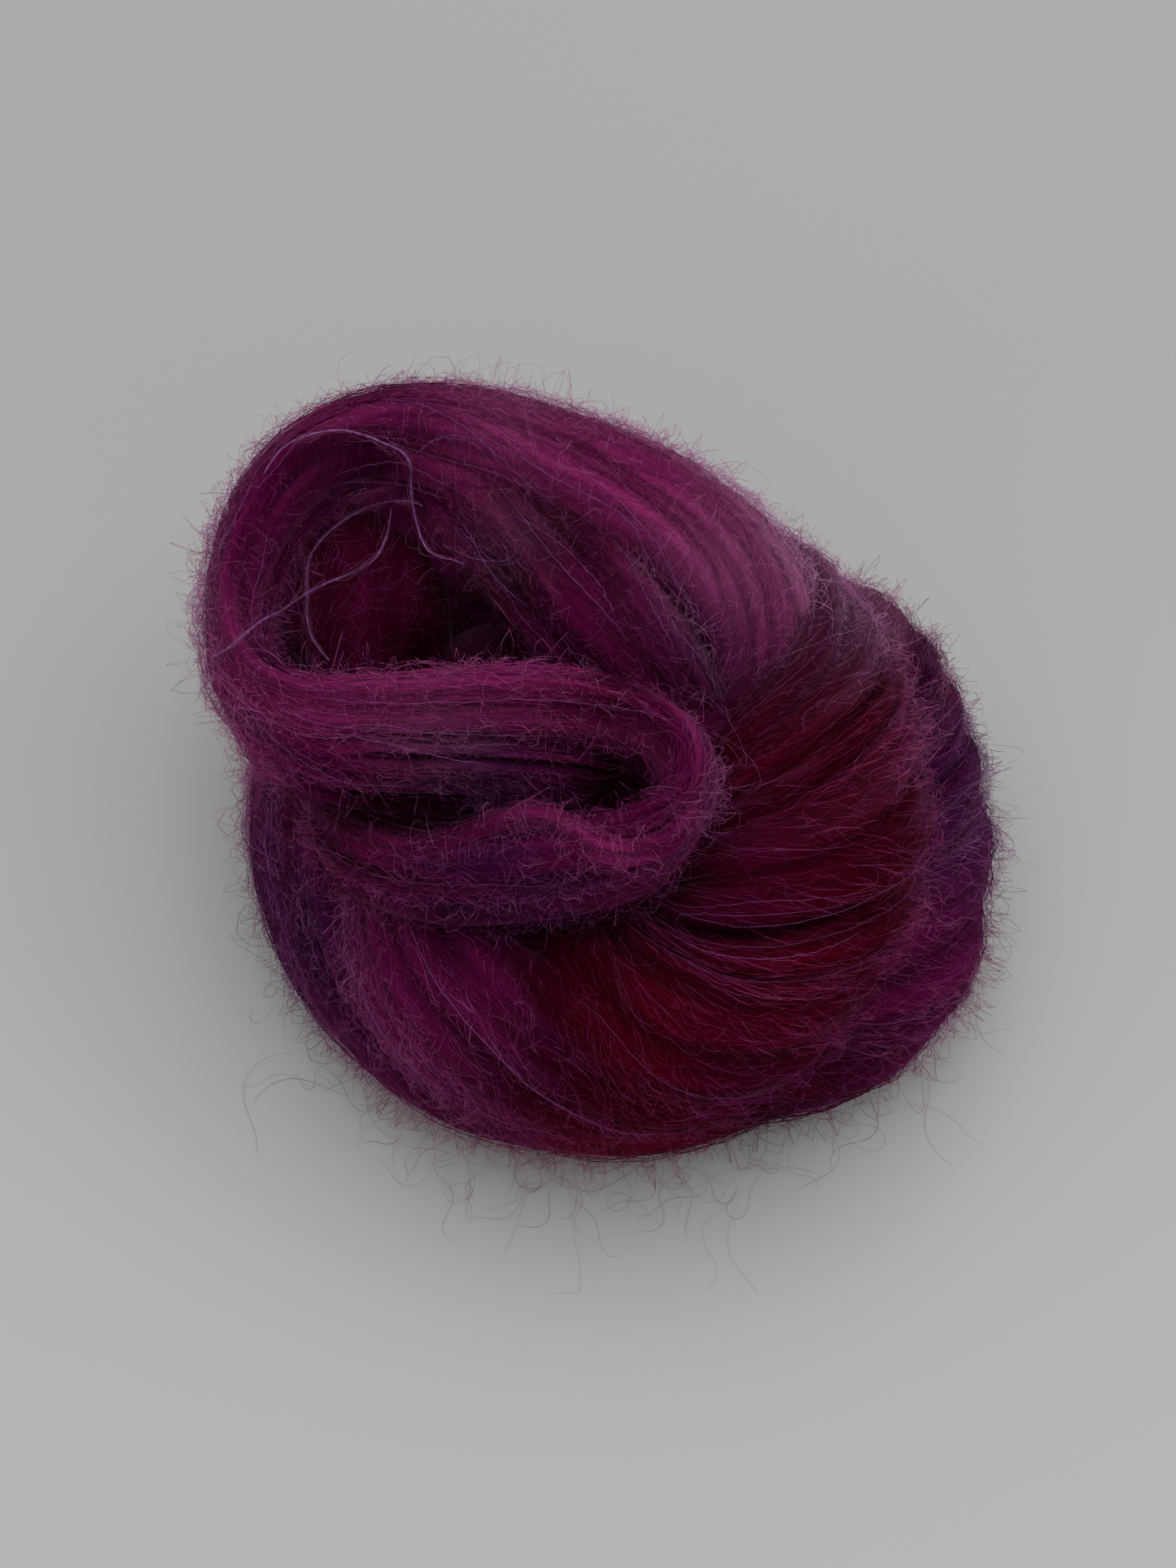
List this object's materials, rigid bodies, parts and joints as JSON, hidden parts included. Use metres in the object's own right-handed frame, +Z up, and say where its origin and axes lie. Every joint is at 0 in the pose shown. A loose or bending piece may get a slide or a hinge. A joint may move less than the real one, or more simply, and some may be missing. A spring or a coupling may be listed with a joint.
{
  "type": "mohair yarn hank",
  "caption": "Hank of fluffy mohair and silk lace yarn, twisted on itself and set down as a rounded heap with a loop on top.",
  "frame": {"origin": "middle of the footprint, on the surface that the hank rests on", "axes": "+Z up; +X to the viewer's right along the hank's longest side; -Y towards the viewer, where the open front of the top fold is"},
  "size_m": [0.0981, 0.0889, 0.0581],
  "materials": {
    "mohair": "hand-dyed fluffy mohair, plum to magenta and crimson",
    "silk": "purple silk thread with a soft shine"
  },
  "bodies": {
    "root": {"hank": "mohair", "yarn_end_left": "silk", "yarn_end_middle": "silk", "yarn_end_right": "silk"}
  },
  "joints": []
}
